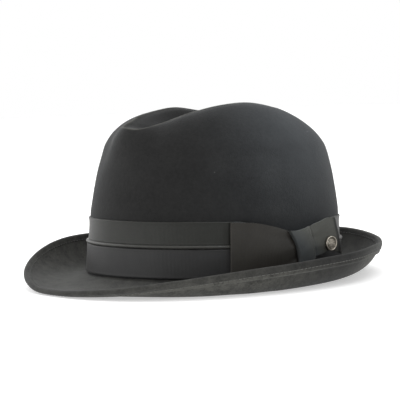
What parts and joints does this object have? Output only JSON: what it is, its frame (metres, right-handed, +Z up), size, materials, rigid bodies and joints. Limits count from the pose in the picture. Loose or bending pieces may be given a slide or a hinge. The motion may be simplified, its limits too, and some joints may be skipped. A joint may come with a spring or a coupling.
{
  "type": "trilby hat",
  "caption": "Black felt trilby with a teardrop crown, a short brim turned down in front and curled up behind, a two-tier ribbon band, a flat side bow and a small round pin.",
  "frame": {"origin": "middle of the hat's outline seen from above, on the surface it rests on", "axes": "+Z up as the hat rests on its brim, -Y the front of the hat, +X the wearer's left"},
  "size_m": [0.2432, 0.2846, 0.1308],
  "materials": {
    "felt": "matt black fur felt",
    "band_ribbon": "black grosgrain ribbon, fine upright ribs",
    "bow_ribbon": "black grosgrain ribbon, slightly warm",
    "pewter": "aged pewter, satin"
  },
  "bodies": {
    "root": {"felt_hood": "felt", "band_lower": "band_ribbon", "band_piping": "band_ribbon", "band_upper": "band_ribbon", "bow_front_wing": "bow_ribbon", "bow_knot": "bow_ribbon", "bow_back_wing": "bow_ribbon", "pin": "pewter"}
  },
  "joints": []
}
